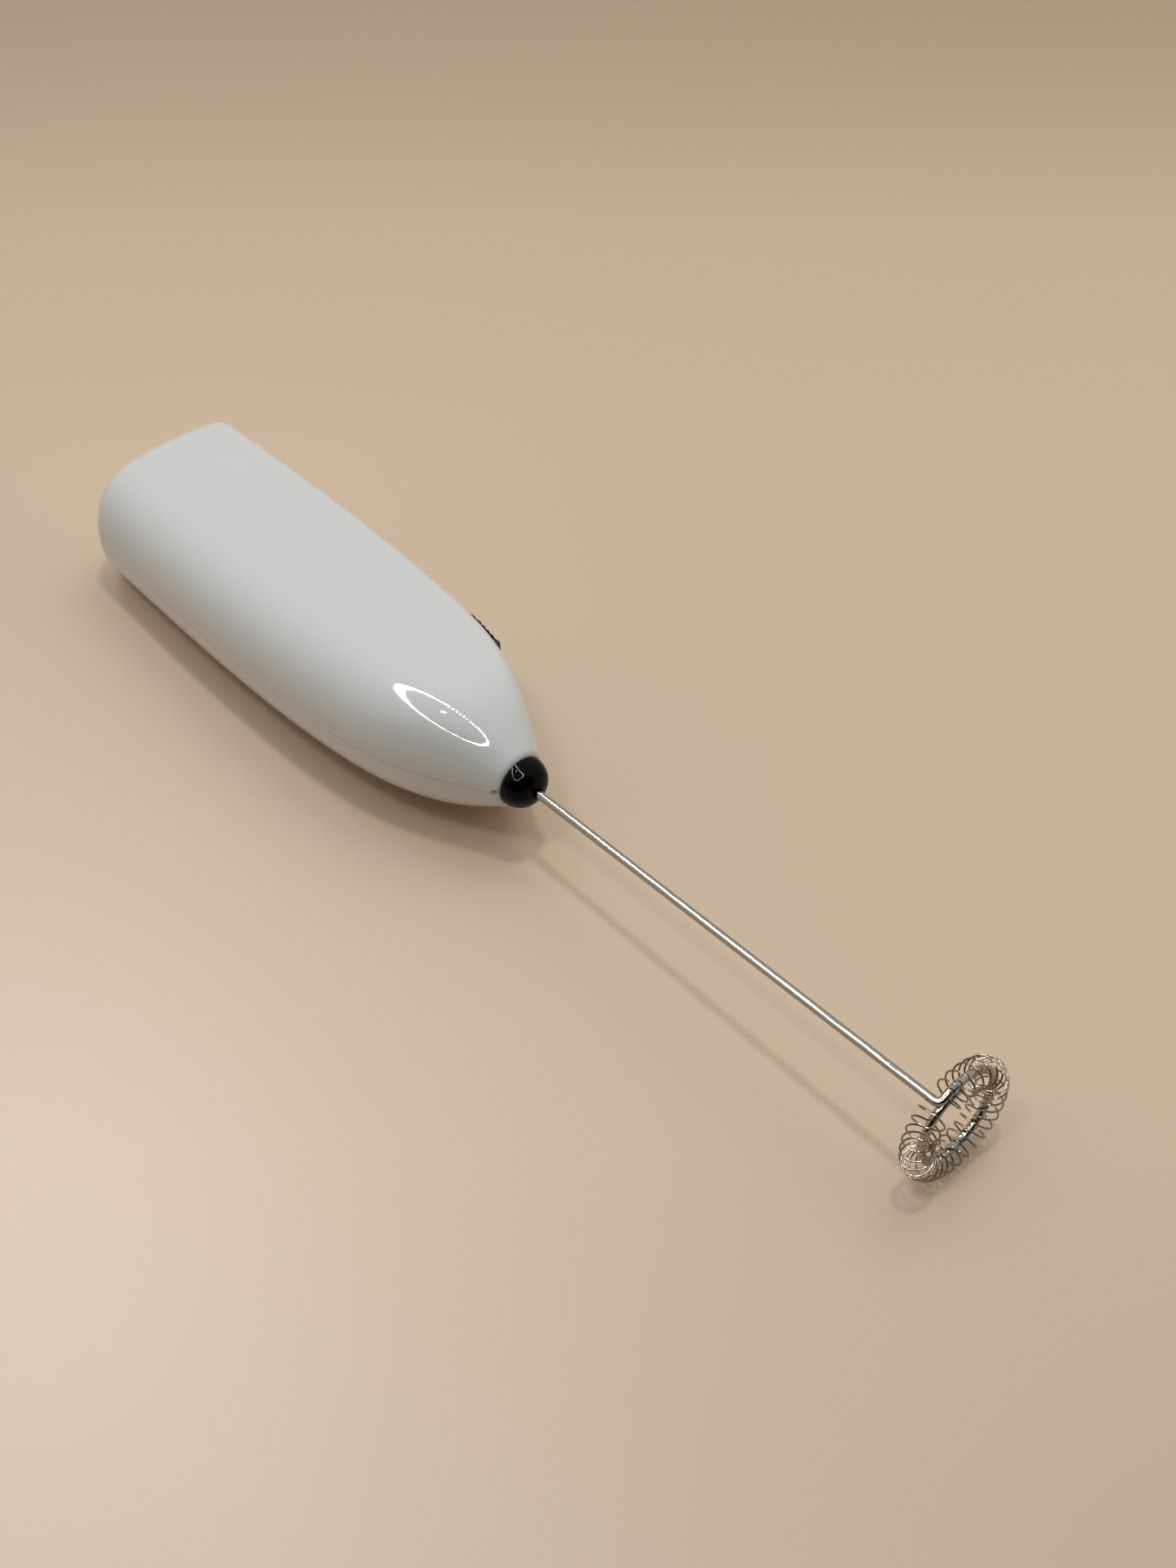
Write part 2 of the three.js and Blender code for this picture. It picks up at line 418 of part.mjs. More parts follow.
part('lead_switch_to_motor', sweep(smoothPath([
  [90.8, 8.0, -2.5], [91.2, 6.6, -4.4], [91.6, 3.0, -6.6], [91.7, -2, -7.2], [91.5, -7.0, -6.9], [88.6, -10.2, -6.3], [82, -11.6, -6.0], [74, -12.0, -6.0], [68.5, -11.4, -6.0], [66.4, -10.8, -6.0]], 30), 0.55, 8), 0x17171a, 0.5, 0);

// ---------------------------------------------------------------- place on the table
assembly.rotation.y = -TILT;                       // nose raised, flat side along +Y
assembly.updateMatrixWorld(true);
const bb = new THREE.Box3().setFromObject(assembly, true), ctr = bb.getCenter(new THREE.Vector3());
assembly.position.set(-ctr.x, -ctr.y, -bb.min.z);

export default root;
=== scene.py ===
"""Looks of the battery hand frother: smooth moulded shells, sliding battery cover, ribbed
slide switch, glossy nose cap, polished wire whisk with its coil, cells and contacts, all
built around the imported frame. Lengths in the builders below are millimetres in the part's
design frame: x runs from the tail along the drive axis, y out of the flat side, z across."""
import math

import bpy
import numpy as np
from mathutils import Matrix, Vector
from mathutils.bvhtree import BVHTree


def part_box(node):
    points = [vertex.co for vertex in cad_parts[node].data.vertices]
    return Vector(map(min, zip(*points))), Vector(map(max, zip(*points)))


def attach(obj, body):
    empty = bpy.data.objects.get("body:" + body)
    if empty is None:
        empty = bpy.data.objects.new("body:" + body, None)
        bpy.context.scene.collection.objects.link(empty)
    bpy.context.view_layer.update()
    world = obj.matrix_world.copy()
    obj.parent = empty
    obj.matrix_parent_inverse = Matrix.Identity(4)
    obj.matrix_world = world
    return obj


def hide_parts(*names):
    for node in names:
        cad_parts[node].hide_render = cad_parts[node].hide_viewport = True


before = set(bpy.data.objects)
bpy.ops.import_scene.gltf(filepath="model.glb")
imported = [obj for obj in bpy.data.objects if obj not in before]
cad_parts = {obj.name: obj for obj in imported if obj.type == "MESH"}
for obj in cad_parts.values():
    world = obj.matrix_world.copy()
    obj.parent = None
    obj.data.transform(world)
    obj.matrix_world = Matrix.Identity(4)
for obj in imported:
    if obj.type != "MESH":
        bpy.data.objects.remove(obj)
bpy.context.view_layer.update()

# ------------------------------------------------------------------ design frame -> row frame
TILT = math.radians(2.33)
CT, ST = math.cos(TILT), math.sin(TILT)
_lo, _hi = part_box("motor_shaft")              # a round bar on the drive axis, x 64.15 to 98.8
_mid = (np.array(_lo) + np.array(_hi)) / 2 * 1000
OFFSET = _mid - np.array([81.475 * CT, 0.0, 81.475 * ST])


def place(p):
    """Design frame in millimetres to row frame in metres."""
    p = np.asarray(p, float).reshape(-1, 3)
    q = np.stack([p[:, 0] * CT - p[:, 2] * ST, p[:, 1], p[:, 0] * ST + p[:, 2] * CT], 1)
    return (q + OFFSET) / 1000


# ------------------------------------------------------------------ dimensions, as in the CAD
L = 111.0
STATION = [f * L for f in (0, 0.12, 0.30, 0.50, 0.68, 0.82, 0.92, 1.0)]
FLAT_SIDE = [17.61, 17.67, 17.74, 17.04, 15.62, 13.15, 9.29, 5.03]
ROUND_SIDE = [15.68, 16.33, 17.24, 17.64, 16.83, 14.21, 9.75, 5.21]
HALF_THICK = [11.86, 11.85, 12.01, 12.36, 12.44, 12.35, 10.90, 5.31]
CORNER_R, NOSE_CORNER_R, SIDE_POWER = 2.5, 4.6, 2.34
TAIL_R, TAIL_CROWN, WALL = 5.2, 3.2, 1.6
CELL_R, CELL_LEN, CELL_A_Y, CELL_B_Y = 7.1, 50.5, 7.6, -6.8
TAIL_PLATE_X, FRONT_PLATE_X, PLATE_T = 3.3, 60.3, 0.4
WINDOW_Z, COVER_Z, COVER_END, WINDOW_END = 8.7, 8.5, 59.6, 59.9
COVER_IN_Y, RAIL_Z, RAIL_Y0 = 15.75, 9.5, 14.7
CATCH_X0, CATCH_X1, CATCH_H0, CATCH_H1 = 6.4, 15.1, 0.95, 1.8
CAN_R, CAN_FLAT = 10.05, 7.55
WIRE_R, CAP_TIP, CAP_R = 0.78, 115.56, 4.9
RING_X, RING_CY, RING_CZ, RING_R = 207.84, 4.59, -8.284, 8.98
COIL_R, COIL_WIRE_R, COIL_TURNS, ELBOW_R = 2.65, 0.165, 29, 1.0
SW_X, SW_LEN, SW_HALF_Z, SW_TRAVEL = 82.6, 10.2, 6.5, 3.5


def spline(xs, ys):
    """Natural cubic spline."""
    n = len(xs)
    h = [xs[i + 1] - xs[i] for i in range(n - 1)]
    al, l, mu, z = [0.0] * n, [1.0] * n, [0.0] * n, [0.0] * n
    for i in range(1, n - 1):
        al[i] = 3 / h[i] * (ys[i + 1] - ys[i]) - 3 / h[i - 1] * (ys[i] - ys[i - 1])
    for i in range(1, n - 1):
        l[i] = 2 * (xs[i + 1] - xs[i - 1]) - h[i - 1] * mu[i - 1]
        mu[i] = h[i] / l[i]
        z[i] = (al[i] - h[i - 1] * z[i - 1]) / l[i]
    c, b, d = [0.0] * n, [0.0] * n, [0.0] * n
    for j in range(n - 2, -1, -1):
        c[j] = z[j] - mu[j] * c[j + 1]
        b[j] = (ys[j + 1] - ys[j]) / h[j] - h[j] * (c[j + 1] + 2 * c[j]) / 3
        d[j] = (c[j + 1] - c[j]) / (3 * h[j])

    def f(x):
        j = 0
        while j < n - 2 and x > xs[j + 1]:
            j += 1
        t = x - xs[j]
        return ys[j] + b[j] * t + c[j] * t * t + d[j] * t ** 3

    return f


flat_y, round_y, thick = spline(STATION, FLAT_SIDE), spline(STATION, ROUND_SIDE), spline(STATION, HALF_THICK)
SW_Y = flat_y(SW_X)
SW_ANG = math.atan((flat_y(SW_X + 4.5) - flat_y(SW_X - 4.5)) / 9)


# ------------------------------------------------------------------ mesh helpers (work in mm)
def new_object(name, verts, faces):
    me = bpy.data.meshes.new(name)
    me.from_pydata([tuple(map(float, v)) for v in verts], [], [tuple(f) for f in faces])
    me.validate()
    me.update()
    ob = bpy.data.objects.new(name, me)
    bpy.context.scene.collection.objects.link(ob)
    return ob


def outward(verts, faces):
    """Turns the faces so that the closed surface's volume is positive."""
    v = np.asarray(verts, float)
    vol = 0.0
    for f in faces:
        for k in range(1, len(f) - 1):
            vol += np.dot(v[f[0]], np.cross(v[f[k]], v[f[k + 1]]))
    return [tuple(reversed(f)) for f in faces] if vol < 0 else faces


def loft(rings, caps=(True, True), loop=True):
    """Quads between rings of the same count, a fan of triangles on each end."""
    n = len(rings[0])
    verts = [p for r in rings for p in r]
    faces = []
    for i in range(len(rings) - 1):
        for j in range(n if loop else n - 1):
            a, b = i * n + j, i * n + (j + 1) % n
            faces.append((a, b, b + n, a + n))
    for end, ring in ((0, rings[0]), (1, rings[-1])):
        if caps[end]:
            c = len(verts)
            verts.append(tuple(np.mean(np.asarray(ring, float), 0)))
            base = 0 if end == 0 else (len(rings) - 1) * n
            for j in range(n):
                a, b = base + j, base + (j + 1) % n
                faces.append((c, b, a) if end == 0 else (c, a, b))
    return verts, outward(verts, faces)


def box(x0, x1, y0, y1, z0, z1):
    v = [(x, y, z) for x in (x0, x1) for y in (y0, y1) for z in (z0, z1)]
    f = [(0, 1, 3, 2), (4, 6, 7, 5), (0, 4, 5, 1), (2, 3, 7, 6), (0, 2, 6, 4), (1, 5, 7, 3)]
    return v, outward(v, f)


def revolve(pts, seg, x0=0.0, y=0.0, z=0.0):
    """pts are (radius, along x); a radius of 0 at either end closes there."""
    rings, verts, faces = [], [], []
    for r, x in pts:
        if r < 1e-6:
            rings.append([len(verts)])
            verts.append((x0 + x, y, z))
        else:
            rings.append(list(range(len(verts), len(verts) + seg)))
            verts += [(x0 + x, y + r * math.cos(2 * math.pi * k / seg), z + r * math.sin(2 * math.pi * k / seg)) for k in range(seg)]
    for a, b in zip(rings, rings[1:]):
        for k in range(seg):
            k2 = (k + 1) % seg
            if len(a) == 1 and len(b) > 1:
                faces.append((a[0], b[k2], b[k]))
            elif len(b) == 1 and len(a) > 1:
                faces.append((a[k], a[k2], b[0]))
            elif len(a) > 1:
                faces.append((a[k], a[k2], b[k2], b[k]))
    return verts, outward(verts, faces)


def rod(x0, x1, r, seg=40, y=0.0, z=0.0):
    return revolve([(0, x0), (r, x0), (r, x1), (0, x1)], seg, 0, y, z)


def rounded(points, radius, steps=4):
    """A closed polygon with each corner rounded by at most radius."""
    p = [np.asarray(q, float) for q in points]
    out = []
    for i, c in enumerate(p):
        a, b = p[i - 1] - c, p[(i + 1) % len(p)] - c
        la, lb = np.linalg.norm(a), np.linalg.norm(b)
        r = min(radius, 0.42 * la, 0.42 * lb)
        s, e = c + a / la * r, c + b / lb * r
        for k in range(steps + 1):
            t = k / steps
            out.append((1 - t) ** 2 * s + 2 * t * (1 - t) * c + t * t * e)
    return out


def bevelled_prism(profile, half, edge=0.25, steps=3):
    """A profile in (u, v), extruded over z from -half to half, its end edges rounded by edge."""
    prof = np.asarray(profile, float)
    nxt, prv = np.roll(prof, -1, 0), np.roll(prof, 1, 0)
    t = nxt - prv
    t /= np.linalg.norm(t, axis=1)[:, None] + 1e-12
    nrm = np.stack([t[:, 1], -t[:, 0]], 1)
    if np.sum(prof[:, 0] * nxt[:, 1] - nxt[:, 0] * prof[:, 1]) < 0:
        nrm = -nrm
    rings = []
    for k in range(steps + 1):
        a = math.pi / 2 * k / steps
        q = prof - nrm * edge * (1 - math.sin(a))
        rings.append([(x, y, -half + edge * (1 - math.cos(a))) for x, y in q])
    for k in range(steps, -1, -1):
        a = math.pi / 2 * k / steps
        q = prof - nrm * edge * (1 - math.sin(a))
        rings.append([(x, y, half - edge * (1 - math.cos(a))) for x, y in q])
    n = len(prof)
    verts = [p for r in rings for p in r]
    faces = [(i * n + j, i * n + (j + 1) % n, (i + 1) * n + (j + 1) % n, (i + 1) * n + j)
             for i in range(len(rings) - 1) for j in range(n)]
    faces.append(tuple(range(n - 1, -1, -1)))
    faces.append(tuple((len(rings) - 1) * n + j for j in range(n)))
    return verts, outward(verts, faces)


def wire(points, radius, sides, taper=(0, 0)):
    """A round wire along a fine line, with domed ends where taper is 1."""
    P = np.asarray(points, float)
    T = np.gradient(P, axis=0)
    T /= np.linalg.norm(T, axis=1)[:, None]
    N = np.array([0, 0, 1.0]) if abs(T[0][2]) < 0.9 else np.array([0, 1.0, 0])
    rings = []
    ang = np.arange(sides) * 2 * math.pi / sides

    def ring(c, t, n, r):
        b = np.cross(t, n)
        return [tuple(c + r * (math.cos(a) * n + math.sin(a) * b)) for a in ang]

    N = N - T[0] * np.dot(N, T[0])
    N /= np.linalg.norm(N)
    if taper[0]:
        for k in range(1, 5):
            a = math.pi / 2 * k / 5
            rings.append(ring(P[0] - T[0] * radius * 0.6 * math.cos(a), T[0], N, radius * math.sin(a)))
    for i in range(len(P)):
        N = N - T[i] * np.dot(N, T[i])
        N /= np.linalg.norm(N)
        rings.append(ring(P[i], T[i], N, radius))
    if taper[1]:
        for k in range(4, 0, -1):
            a = math.pi / 2 * k / 5
            rings.append(ring(P[-1] + T[-1] * radius * 0.6 * math.cos(a), T[-1], N, radius * math.sin(a)))
    return loft(rings)


def combine(a, b, how):
    """a and b combined as solids; b is used up."""
    m = a.modifiers.new("cut", "BOOLEAN")
    m.object, m.operation = b, how
    try:
        m.solver = "MANIFOLD"
    except TypeError:
        m.solver = "EXACT"
    bpy.context.view_layer.update()
    me = bpy.data.meshes.new_from_object(a.evaluated_get(bpy.context.evaluated_depsgraph_get()))
    if len(me.polygons) == 0:
        raise RuntimeError("nothing left of " + a.name)
    a.modifiers.clear()
    a.data = me
    bpy.data.objects.remove(b)
    return a


def cut(a, shape):
    return combine(a, new_object("tool", *shape), "DIFFERENCE")


def add(a, shape):
    return combine(a, new_object("tool", *shape), "UNION")


def keep(a, shape):
    return combine(a, new_object("tool", *shape), "INTERSECT")


def to_switch(shape):
    """Switch frame (u along the surface, v outwards, z) to the design frame."""
    v, f = shape
    c, s = math.cos(SW_ANG), math.sin(SW_ANG)
    return [(SW_X + x * c - y * s, SW_Y + x * s + y * c, z) for x, y, z in v], f


def finish_mesh(ob, name, material, body, stands_for=(), angle=32, skin=None):
    """Moves a millimetre mesh into the row frame, smooths it and puts it on its body.
    skin is (tree, corner normals by polygon) of the uncut surface, whose normals are kept."""
    me = ob.data
    co = np.zeros(len(me.vertices) * 3)
    me.vertices.foreach_get("co", co)
    co = co.reshape(-1, 3)
    normals = None
    if skin is not None:
        tree, tris, tri_n = skin
        normals = np.zeros((len(me.loops), 3))
        for p in me.polygons:
            c, n = p.center, p.normal
            hit = tree.find_nearest(c, 0.3)
            if hit[0] is None or (hit[0] - c).length > 0.02 or hit[1].dot(n) < 0.93:
                continue
            for li in p.loop_indices:
                v = Vector(co[me.loops[li].vertex_index])
                at = tree.find_nearest(v + (c - v) * 1e-3)
                a, b, d = tris[at[2]]
                w = barycentric(at[0], a, b, d)
                q = w[0] * tri_n[at[2]][0] + w[1] * tri_n[at[2]][1] + w[2] * tri_n[at[2]][2]
                ln = np.linalg.norm(q)
                if ln > 0.5:
                    normals[li] = rotate(q / ln)
    me.vertices.foreach_set("co", place(co).ravel())
    me.update()
    for p in me.polygons:
        p.use_smooth = True
    me.set_sharp_from_angle(angle=math.radians(angle))
    if normals is not None:
        me.normals_split_custom_set([tuple(n) for n in normals])
    me.materials.clear()
    me.materials.append(material)
    ob.name = name
    me.name = name
    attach(ob, body)
    if stands_for:
        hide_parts(*stands_for)
    return ob


def rotate(n):
    return (n[0] * CT - n[2] * ST, n[1], n[0] * ST + n[2] * CT)


def barycentric(p, a, b, c):
    p, a, b, c = (np.array(q, float) for q in (p, a, b, c))
    v0, v1, v2 = b - a, c - a, p - a
    d00, d01, d11 = v0 @ v0, v0 @ v1, v1 @ v1
    d20, d21 = v2 @ v0, v2 @ v1
    den = d00 * d11 - d01 * d01
    if abs(den) < 1e-18:
        return 1.0, 0.0, 0.0
    v, w = (d11 * d20 - d01 * d21) / den, (d00 * d21 - d01 * d20) / den
    return max(0.0, 1 - v - w), max(0.0, v), max(0.0, w)


def skin_of(ob):
    """The surface's triangles in a tree, and the smooth normal at each corner."""
    me = ob.data
    for p in me.polygons:
        p.use_smooth = True
    me.set_sharp_from_angle(angle=math.radians(30))
    me.calc_loop_triangles()
    co = [v.co.copy() for v in me.vertices]
    cn = me.corner_normals
    tri = [tuple(t.vertices) for t in me.loop_triangles]
    nrm = [[np.array(cn[i].vector) for i in t.loops] for t in me.loop_triangles]
    return BVHTree.FromPolygons(co, tri), [[co[i] for i in t] for t in tri], nrm


# ------------------------------------------------------------------ materials
def material(name, base, rough=0.4, metal=0.0, coat=0.0, coat_rough=0.05, ior=1.5, specular=0.5):
    m = bpy.data.materials.new(name)
    m.use_nodes = True
    t = m.node_tree
    b = t.nodes["Principled BSDF"]
    b.inputs["Base Color"].default_value = (*base, 1)
    b.inputs["Roughness"].default_value = rough
    b.inputs["Metallic"].default_value = metal
    b.inputs["Coat Weight"].default_value = coat
    b.inputs["Coat Roughness"].default_value = coat_rough
    b.inputs["IOR"].default_value = ior
    b.inputs["Specular IOR Level"].default_value = specular
    m.diffuse_color = (*base, 1)
    return m, t, b


def coords(t):
    return t.nodes.new("ShaderNodeTexCoord").outputs["Object"]


def noise(t, where, scale, detail=3, rough=0.5, stretch=None):
    if stretch:
        mp = t.nodes.new("ShaderNodeMapping")
        mp.inputs["Scale"].default_value = stretch
        mp.inputs["Rotation"].default_value = (0, TILT, 0)
        t.links.new(where, mp.inputs["Vector"])
        where = mp.outputs["Vector"]
    n = t.nodes.new("ShaderNodeTexNoise")
    n.inputs["Scale"].default_value = scale
    n.inputs["Detail"].default_value = detail
    n.inputs["Roughness"].default_value = rough
    t.links.new(where, n.inputs["Vector"])
    return n.outputs["Fac"]


def ramp(t, fac, stops):
    r = t.nodes.new("ShaderNodeValToRGB")
    e = r.color_ramp.elements
    while len(e) < len(stops):
        e.new(0.5)
    for k, (pos, col) in enumerate(stops):
        e[k].position = pos
        e[k].color = (*col, 1)
    t.links.new(fac, r.inputs["Fac"])
    return r.outputs["Color"]


def spread(t, fac, lo, hi):
    r = t.nodes.new("ShaderNodeMapRange")
    r.inputs["To Min"].default_value = lo
    r.inputs["To Max"].default_value = hi
    r.inputs["From Min"].default_value = 0.3
    r.inputs["From Max"].default_value = 0.7
    t.links.new(fac, r.inputs["Value"])
    return r.outputs["Result"]


def bump(t, b, fac, strength, distance):
    n = t.nodes.new("ShaderNodeBump")
    n.inputs["Strength"].default_value = strength
    n.inputs["Distance"].default_value = distance
    t.links.new(fac, n.inputs["Height"])
    t.links.new(n.outputs["Normal"], b.inputs["Normal"])
    return n


def glossy_white(name, base, rough=0.16):
    m, t, b = material(name, base, rough, 0, coat=0.0)
    c = coords(t)
    big, fine = noise(t, c, 22, 2), noise(t, c, 900, 4, 0.6)
    lo = tuple(x * 0.975 for x in base)
    t.links.new(ramp(t, big, [(0.35, lo), (0.65, base)]), b.inputs["Base Color"])
    t.links.new(spread(t, fine, rough - 0.008, rough + 0.012), b.inputs["Roughness"])
    bump(t, b, noise(t, c, 260, 2), 0.02, 0.00003)
    return m


def plastic(name, base, rough, grain=1500, depth=0.00004, strength=0.3, specular=0.5):
    m, t, b = material(name, base, rough, specular=specular)
    c = coords(t)
    lo = tuple(x * 0.8 for x in base)
    t.links.new(ramp(t, noise(t, c, 60, 3), [(0.3, lo), (0.7, base)]), b.inputs["Base Color"])
    fine = noise(t, c, grain, 3, 0.6)
    t.links.new(spread(t, fine, max(0.03, rough - 0.05), rough + 0.06), b.inputs["Roughness"])
    bump(t, b, fine, strength, depth)
    return m


def metal(name, base, rough, stretch=(40, 1200, 1200), depth=0.00002, strength=0.25, dark=0.72):
    """Drawn or ground metal: fine streaks along the drive axis and blotches of colour."""
    m, t, b = material(name, base, rough, 1.0)
    c = coords(t)
    lo = tuple(x * dark for x in base)
    t.links.new(ramp(t, noise(t, c, 180, 4, 0.6), [(0.32, lo), (0.62, base)]), b.inputs["Base Color"])
    streak = noise(t, c, 1.0, 4, 0.6, stretch)
    t.links.new(spread(t, streak, max(0.02, rough - 0.03), rough + 0.04), b.inputs["Roughness"])
    if strength:
        bump(t, b, streak, strength, depth)
    return m


WHITE = glossy_white("ShellWhite", (0.635, 0.648, 0.642), 0.03)
COVER_WHITE = glossy_white("CoverWhite", (0.63, 0.64, 0.63), 0.06)
CAP_BLACK = plastic("CapBlack", (0.001, 0.001, 0.0012), 0.05, 700, 0.000004, 0.01, 0.09)
SWITCH_BLACK = plastic("SwitchBlack", (0.010, 0.010, 0.010), 0.34, 1800, 0.00003, 0.25)
WIRE = metal("WhiskWire", (0.37, 0.365, 0.33), 0.07, (20, 150, 150), 0.0, 0.0, 0.92)
SPRING = metal("WhiskSpring", (0.27, 0.235, 0.18), 0.12, (1500, 1500, 1500), 0.0, 0.0, 0.75)
SHAFT = metal("ShaftSteel", (0.6, 0.6, 0.6), 0.22)
CAN = metal("MotorCan", (0.6, 0.61, 0.62), 0.3)
NICKEL = metal("NickelStrip", (0.72, 0.7, 0.65), 0.26, (400, 400, 60))
COPPER = metal("CopperStrip", (0.72, 0.4, 0.22), 0.3, (400, 400, 60))
BRASS = metal("BushBronze", (0.72, 0.53, 0.26), 0.36, (900, 900, 900), dark=0.6)
NYLON = plastic("MotorNylon", (0.78, 0.74, 0.64), 0.5)
MAGNET = plastic("MagnetFerrite", (0.075, 0.07, 0.068), 0.6, 2500, 0.00006, 0.6)
SLEEVE = plastic("SleeveBlack", (0.02, 0.02, 0.02), 0.5)
LEAD_RED = plastic("LeadRed", (0.42, 0.025, 0.02), 0.42)
LEAD_BLACK = plastic("LeadBlack", (0.015, 0.015, 0.016), 0.42)


def winding():
    """Enamelled copper wire, its turns running round the armature's poles."""
    m, t, b = material("ArmatureWinding", (0.5, 0.2, 0.08), 0.3, 1.0)
    c = coords(t)
    w = t.nodes.new("ShaderNodeTexWave")
    w.wave_type, w.bands_direction = "BANDS", "X"
    w.inputs["Scale"].default_value = 900
    w.inputs["Distortion"].default_value = 2.0
    t.links.new(c, w.inputs["Vector"])
    t.links.new(ramp(t, w.outputs["Fac"], [(0.2, (0.22, 0.07, 0.03)), (0.8, (0.62, 0.27, 0.12))]), b.inputs["Base Color"])
    bump(t, b, w.outputs["Fac"], 0.7, 0.0001)
    return m


WINDING = winding()


def jacket(name, x_copper):
    """A plain dark cell jacket with a copper band at its positive end."""
    m, t, b = material(name, (0.03, 0.03, 0.035), 0.25, 0.6)
    c = coords(t)
    sx = t.nodes.new("ShaderNodeSeparateXYZ")
    t.links.new(c, sx.inputs[0])
    a, e, swap = x_copper
    r = t.nodes.new("ShaderNodeMapRange")
    r.inputs["From Min"].default_value, r.inputs["From Max"].default_value = a, e
    t.links.new(sx.outputs["X"], r.inputs["Value"])
    dark, cop, steel = (0.025, 0.026, 0.03), (0.62, 0.34, 0.17), (0.66, 0.65, 0.62)
    stops = [(0.0, steel), (0.018, dark), (0.72, dark), (0.725, cop), (0.975, cop), (0.98, steel)]
    if swap:
        stops = [(round(1 - p, 4), q) for p, q in [(0.0, steel), (0.018, dark), (0.72, dark), (0.725, cop), (0.975, cop), (0.98, steel)]][::-1]
        stops = [(0.0, steel), (0.02, cop), (0.275, cop), (0.28, dark), (0.98, dark), (0.985, steel)]
    col = ramp(t, r.outputs["Result"], stops)
    n = t.nodes[-1]
    n.color_ramp.interpolation = "CONSTANT"
    t.links.new(col, b.inputs["Base Color"])
    t.links.new(spread(t, noise(t, c, 300, 3), 0.18, 0.34), b.inputs["Roughness"])
    bump(t, b, noise(t, c, 500, 2), 0.08, 0.00005)
    return m


# ------------------------------------------------------------------ camera first
AZ, EL, F_PX = math.radians(46.813), math.radians(48.617), 2950.0
RIGHT = np.array([math.cos(AZ), math.sin(AZ), 0.0])
FWD = np.array([-math.sin(AZ) * math.cos(EL), math.cos(AZ) * math.cos(EL), -math.sin(EL)])
DOWN = np.cross(FWD, RIGHT)
EXIT = place([(CAP_TIP, 0, 0)])[0]
DEPTH = 0.418643
CAM = EXIT - (RIGHT * (-61.8 / F_PX * DEPTH) + DOWN * (11.5 / F_PX * DEPTH) + FWD * DEPTH)
cam_data = bpy.data.cameras.new("Camera")
cam_data.sensor_width = 36.0
cam_data.lens = F_PX / 1927 * 36.0
cam_data.clip_start, cam_data.clip_end = 0.01, 20
camera = bpy.data.objects.new("Camera", cam_data)
bpy.context.scene.collection.objects.link(camera)
camera.matrix_world = Matrix([
    [RIGHT[0], -DOWN[0], -FWD[0], CAM[0]],
    [RIGHT[1], -DOWN[1], -FWD[1], CAM[1]],
    [RIGHT[2], -DOWN[2], -FWD[2], CAM[2]],
    [0, 0, 0, 1]])
bpy.context.scene.camera = camera


# ------------------------------------------------------------------ handle skin
def half_section(X, inset, nc, ne, nf, groove):
    """Upper half of the section, from the flat side's parting line over the top to the round
    side's. groove is (first z, depth) of the small vee at the parting line, or None."""
    u = min(1.0, max(0.0, (X / L - 0.76) / 0.24))
    s = u * u * (3 - 2 * u)
    yf, yn, t = flat_y(X) - inset, round_y(X) - inset, thick(X) - inset
    cf = CORNER_R + (NOSE_CORNER_R - CORNER_R) * s
    cf = max(0.5, min(cf - 0.6 * inset, t * 0.98))
    an = max(1.0, min(thick(X) * 1.005, (flat_y(X) + round_y(X)) * 0.6) - inset * 0.8)
    z0 = groove[2] if groove else 0.0
    out = []
    if groove:
        out += [(yf - groove[1], groove[0]), (yf - groove[1] * 0.35, groove[0] + 0.05)]
    zc = t - cf
    z0 = min(z0, zc * 0.5)
    for k in range(5):
        out.append((yf, z0 + (zc - z0) * k / 5))
    for k in range(nc + 1):
        a = math.pi / 2 * k / nc
        out.append((yf - cf + cf * math.cos(a), zc + cf * math.sin(a)))
    ya, yb = yf - cf, -yn + an
    for k in range(1, nf):
        out.append((ya + (yb - ya) * k / nf, t))
    a_end = math.pi - (math.asin(min(1.0, (z0 / t) ** (SIDE_POWER / 2))) if z0 else 0.0)
    for k in range(ne + 1):
        a = math.pi / 2 + (a_end - math.pi / 2) * k / ne
        c, q = abs(math.cos(a)), abs(math.sin(a))
        z = t * q ** (2 / SIDE_POWER) if (groove or k < ne) else 0.0
        out.append((-yn + an - an * c ** (2 / SIDE_POWER), z))
    if groove:
        y = out[-1][0]
        out += [(y + groove[1] * 0.35 - 0.0, groove[0] + 0.05), (y + groove[1], groove[0])]
    return out


def with_x(X, yz):
    w, yc = (flat_y(X) + round_y(X)) / 2, (flat_y(X) - round_y(X)) / 2
    k = TAIL_CROWN * max(0.0, 1 - X / 20)
    return [(X + k * ((y - yc) / w) ** 2, y, z) for y, z in yz]


def stations(x_tail, x_nose, tail_r, n, nose_r, n_tail, n_nose):
    out = []
    for i in range(n_tail + 1):
        a = math.pi / 2 * i / n_tail
        out.append((x_tail + tail_r * (1 - math.cos(a)), tail_r * (1 - math.sin(a))))
    for i in range(1, n + 1):
        out.append((x_tail + tail_r + (x_nose - nose_r - x_tail - tail_r) * (i / n) ** 0.92, 0.0))
    for i in range(1, n_nose + 1):
        a = math.pi / 2 * i / n_nose
        out.append((x_nose - nose_r + nose_r * math.sin(a), nose_r * (1 - math.cos(a))))
    return out


GROOVE = (0.035, 0.05, 0.12)       # first z, depth, z where the groove ends


